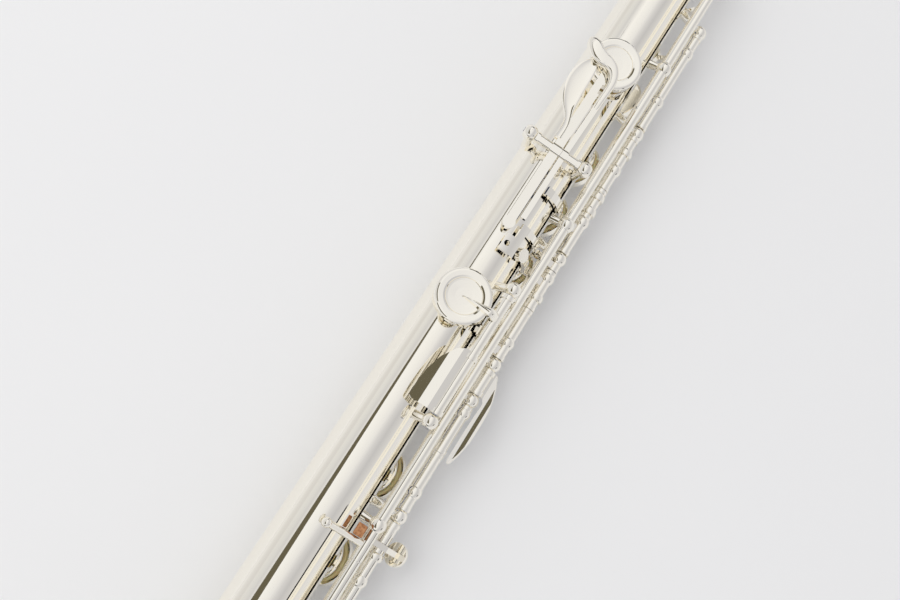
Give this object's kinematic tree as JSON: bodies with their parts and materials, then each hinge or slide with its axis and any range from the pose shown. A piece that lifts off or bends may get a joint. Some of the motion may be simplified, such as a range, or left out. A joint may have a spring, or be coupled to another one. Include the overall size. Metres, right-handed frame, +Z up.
{
  "type": "concert flute",
  "caption": "Silver concert flute with head joint, body joint and foot joint, pointed arm keywork on steels and ball posts, skin pads and a tuning slide.",
  "frame": {"origin": "on the tube axis at the open foot end", "axes": "+X along the tube from the head towards the foot and out of its open end, +Z up through the embouchure hole and the main line of tone holes, -Y the player's side with the rods"},
  "size_m": [0.6665, 0.0397, 0.0542],
  "materials": {
    "silver": "mirror polished silver plate",
    "steel": "ground",
    "spring": "blued",
    "cork": "natural cork",
    "pad_skin": "thin yellow skin over felt"
  },
  "bodies": {
    "body_joint": {"body_tube": "silver", "barrel": "silver", "main_rib": "silver", "back_rib": "silver", "main_posts": "silver", "trill_posts": "silver", "gsharp_posts": "silver", "thumb_posts": "silver", "main_steels": "steel", "gsharp_steel": "steel", "thumb_axle": "steel", "needle_springs": "spring", "thumb_springs": "spring"},
    "head_joint": {"head_tube": "silver", "lip_plate": "silver", "lip_riser": "silver"},
    "crown": {"crown": "silver"},
    "stopper": {"stopper_screw": "silver", "stopper_cork": "cork"},
    "foot_joint": {"foot_tube": "silver", "foot_socket": "silver", "foot_rib": "silver", "foot_posts": "silver", "foot_steel": "steel"},
    "c_key": {"c_key": "silver", "c_pad": "pad_skin"},
    "bflat_key": {"bflat_key": "silver", "bflat_pad": "pad_skin"},
    "a_key": {"a_key": "silver", "a_pad": "pad_skin"},
    "g_key": {"g_key": "silver", "g_pad": "pad_skin"},
    "low_g_key": {"low_g_key": "silver", "low_g_pad": "pad_skin"},
    "fsharp_key": {"fsharp_key": "silver", "fsharp_pad": "pad_skin"},
    "f_key": {"f_key": "silver", "f_pad": "pad_skin"},
    "e_key": {"e_key": "silver", "e_pad": "pad_skin"},
    "d_key": {"d_key": "silver", "d_pad": "pad_skin"},
    "trill_d_key": {"trill_d_key": "silver", "trill_d_pad": "pad_skin", "trill_cork": "cork"},
    "trill_dsharp_key": {"trill_dsharp_key": "silver", "trill_dsharp_pad": "pad_skin"},
    "gsharp_lever": {"gsharp_lever": "silver"},
    "gsharp_key": {"gsharp_key": "silver", "gsharp_pad": "pad_skin"},
    "thumb_key": {"thumb_key": "silver", "thumb_pad": "pad_skin"},
    "thumb_bflat_lever": {"thumb_bflat_lever": "silver"},
    "foot_dsharp_key": {"foot_dsharp_key": "silver", "foot_dsharp_pad": "pad_skin"},
    "foot_csharp_key": {"foot_csharp_key": "silver", "foot_csharp_pad": "pad_skin"},
    "foot_c_key": {"foot_c_key": "silver", "foot_c_pad": "pad_skin"},
    "foot_c_roller": {"foot_c_roller": "silver"}
  },
  "joints": [
    {"name": "head_tuning_slide", "type": "slide", "parent": "body_joint", "child": "head_joint", "axis": [1, 0, 0], "range_m": [-0.012, 0.002]},
    {"name": "crown_turn", "type": "hinge", "parent": "head_joint", "child": "crown", "pos_m": [-0.663, 0, 0], "axis": [1, 0, 0], "range_deg": [-180, 180]},
    {"name": "stopper_shift", "type": "slide", "parent": "head_joint", "child": "stopper", "axis": [1, 0, 0], "range_m": [-0.0005, 0.0005]},
    {"name": "foot_joint_turn", "type": "hinge", "parent": "body_joint", "child": "foot_joint", "pos_m": [-0.118, 0, 0], "axis": [1, 0, 0], "range_deg": [-25, 15]},
    {"name": "c_key_hinge", "type": "hinge", "parent": "body_joint", "child": "c_key", "pos_m": [-0.362, -0.0155, 0.0125], "axis": [1, 0, 0], "range_deg": [-9, 0], "stiffness_Nm_per_rad": 0.02},
    {"name": "bflat_key_hinge", "type": "hinge", "parent": "body_joint", "child": "bflat_key", "pos_m": [-0.326, -0.0155, 0.0125], "axis": [1, 0, 0], "range_deg": [-9, 0], "stiffness_Nm_per_rad": 0.02},
    {"name": "a_key_hinge", "type": "hinge", "parent": "body_joint", "child": "a_key", "pos_m": [-0.302, -0.0155, 0.0125], "axis": [1, 0, 0], "range_deg": [-9, 0], "stiffness_Nm_per_rad": 0.02},
    {"name": "g_key_hinge", "type": "hinge", "parent": "body_joint", "child": "g_key", "pos_m": [-0.276, -0.0155, 0.0125], "axis": [1, 0, 0], "range_deg": [-9, 0], "stiffness_Nm_per_rad": 0.02},
    {"name": "low_g_key_hinge", "type": "hinge", "parent": "body_joint", "child": "low_g_key", "pos_m": [-0.258, -0.0155, 0.0125], "axis": [1, 0, 0], "range_deg": [-9, 0], "stiffness_Nm_per_rad": 0.02},
    {"name": "fsharp_key_hinge", "type": "hinge", "parent": "body_joint", "child": "fsharp_key", "pos_m": [-0.223, -0.0155, 0.0125], "axis": [1, 0, 0], "range_deg": [-9, 0], "stiffness_Nm_per_rad": 0.02},
    {"name": "f_key_hinge", "type": "hinge", "parent": "body_joint", "child": "f_key", "pos_m": [-0.206, -0.0155, 0.0125], "axis": [1, 0, 0], "range_deg": [-9, 0], "stiffness_Nm_per_rad": 0.02},
    {"name": "e_key_hinge", "type": "hinge", "parent": "body_joint", "child": "e_key", "pos_m": [-0.175, -0.0155, 0.0125], "axis": [1, 0, 0], "range_deg": [-9, 0], "stiffness_Nm_per_rad": 0.02},
    {"name": "d_key_hinge", "type": "hinge", "parent": "body_joint", "child": "d_key", "pos_m": [-0.147, -0.0155, 0.0125], "axis": [1, 0, 0], "range_deg": [-9, 0], "stiffness_Nm_per_rad": 0.02},
    {"name": "trill_d_key_hinge", "type": "hinge", "parent": "body_joint", "child": "trill_d_key", "pos_m": [-0.293, -0.0155, 0.004], "axis": [1, 0, 0], "range_deg": [0, 8], "stiffness_Nm_per_rad": 0.02},
    {"name": "trill_dsharp_key_hinge", "type": "hinge", "parent": "body_joint", "child": "trill_dsharp_key", "pos_m": [-0.283, -0.0155, 0.004], "axis": [1, 0, 0], "range_deg": [0, 8], "stiffness_Nm_per_rad": 0.02},
    {"name": "gsharp_lever_hinge", "type": "hinge", "parent": "body_joint", "child": "gsharp_lever", "pos_m": [-0.24, -0.0155, 0.0125], "axis": [1, 0, 0], "range_deg": [0, 10], "stiffness_Nm_per_rad": 0.02},
    {"name": "gsharp_key_hinge", "type": "hinge", "parent": "body_joint", "child": "gsharp_key", "pos_m": [-0.243, -0.0165, -0.0049], "axis": [1, 0, 0], "range_deg": [-14, 0], "stiffness_Nm_per_rad": 0.02},
    {"name": "thumb_key_hinge", "type": "hinge", "parent": "body_joint", "child": "thumb_key", "pos_m": [-0.3094, -0.00719, -0.01107], "axis": [0, -0.8387, 0.5446], "range_deg": [-4.4, 0], "stiffness_Nm_per_rad": 0.02},
    {"name": "thumb_bflat_lever_hinge", "type": "hinge", "parent": "thumb_key", "child": "thumb_bflat_lever", "pos_m": [-0.3094, -0.01054, -0.00889], "axis": [0, -0.8387, 0.5446], "range_deg": [0, 4.4], "stiffness_Nm_per_rad": 0.02},
    {"name": "foot_dsharp_key_hinge", "type": "hinge", "parent": "foot_joint", "child": "foot_dsharp_key", "pos_m": [-0.091, -0.00553, 0.01913], "axis": [1, 0, 0], "range_deg": [0, 10], "stiffness_Nm_per_rad": 0.02},
    {"name": "foot_csharp_key_hinge", "type": "hinge", "parent": "foot_joint", "child": "foot_csharp_key", "pos_m": [-0.073, -0.00553, 0.01913], "axis": [1, 0, 0], "range_deg": [-9, 0], "stiffness_Nm_per_rad": 0.02},
    {"name": "foot_c_key_hinge", "type": "hinge", "parent": "foot_joint", "child": "foot_c_key", "pos_m": [-0.043, -0.00553, 0.01913], "axis": [1, 0, 0], "range_deg": [-9, 0], "stiffness_Nm_per_rad": 0.02},
    {"name": "foot_c_roller_spin", "type": "hinge", "parent": "foot_c_key", "child": "foot_c_roller", "pos_m": [-0.052, 0.01404, 0.01704], "axis": [1, 0, 0], "continuous": true}
  ],
  "couplings": [
    {"joint": "crown_turn", "follows": "stopper_shift", "rad_per_m": 6283.2},
    {"joint": "bflat_key_hinge", "follows": "a_key_hinge", "ratio": 1},
    {"joint": "low_g_key_hinge", "follows": "g_key_hinge", "ratio": 1},
    {"joint": "fsharp_key_hinge", "follows": "f_key_hinge", "ratio": 1},
    {"joint": "gsharp_key_hinge", "follows": "gsharp_lever_hinge", "ratio": -1.4}
  ]
}
